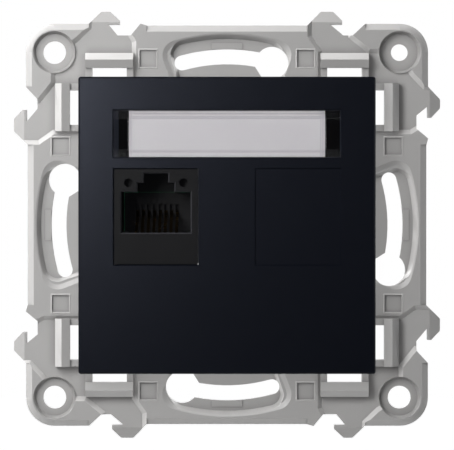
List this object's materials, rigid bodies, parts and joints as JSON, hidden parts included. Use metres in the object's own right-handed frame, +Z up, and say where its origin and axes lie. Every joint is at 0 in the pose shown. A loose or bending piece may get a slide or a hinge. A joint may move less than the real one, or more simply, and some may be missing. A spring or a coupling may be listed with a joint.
{
  "type": "ethernet wall socket",
  "caption": "Flush data socket: hooked grey support frame, dark centre plate with a clear label field, a modular jack and a blanked place beside it.",
  "frame": {"origin": "middle of the support frame's back face, on the wall plane and centred between the curved box screw slots", "axes": "+Z up, -Y out of the wall towards the room, +X to the right as seen from the room"},
  "size_m": [0.076, 0.0321, 0.076],
  "materials": {
    "frame_grey": "satin",
    "anthracite": "satin",
    "clear_strip": "polished",
    "card": "matte",
    "jack_black": "satin",
    "carrier_grey": "satin",
    "contact_gold": "plated",
    "board_green": "lacquered",
    "terminal_white": "satin",
    "blade_tin": "tinned",
    "cap_grey": "satin"
  },
  "bodies": {
    "root": {"support_frame": "frame_grey", "module_carrier": "carrier_grey", "centre_plate": "anthracite", "label_window": "clear_strip", "label_card": "card", "jack_housing": "jack_black", "contact_carrier": "jack_black", "circuit_board": "board_green", "idc_block": "terminal_white", "termination_cap": "cap_grey", "contact_wire_1": "contact_gold", "idc_contact_1": "blade_tin", "contact_wire_2": "contact_gold", "idc_contact_2": "blade_tin", "contact_wire_3": "contact_gold", "idc_contact_3": "blade_tin", "contact_wire_4": "contact_gold", "idc_contact_4": "blade_tin", "contact_wire_5": "contact_gold", "idc_contact_5": "blade_tin", "contact_wire_6": "contact_gold", "idc_contact_6": "blade_tin", "contact_wire_7": "contact_gold", "idc_contact_7": "blade_tin", "contact_wire_8": "contact_gold", "idc_contact_8": "blade_tin"}
  },
  "joints": []
}
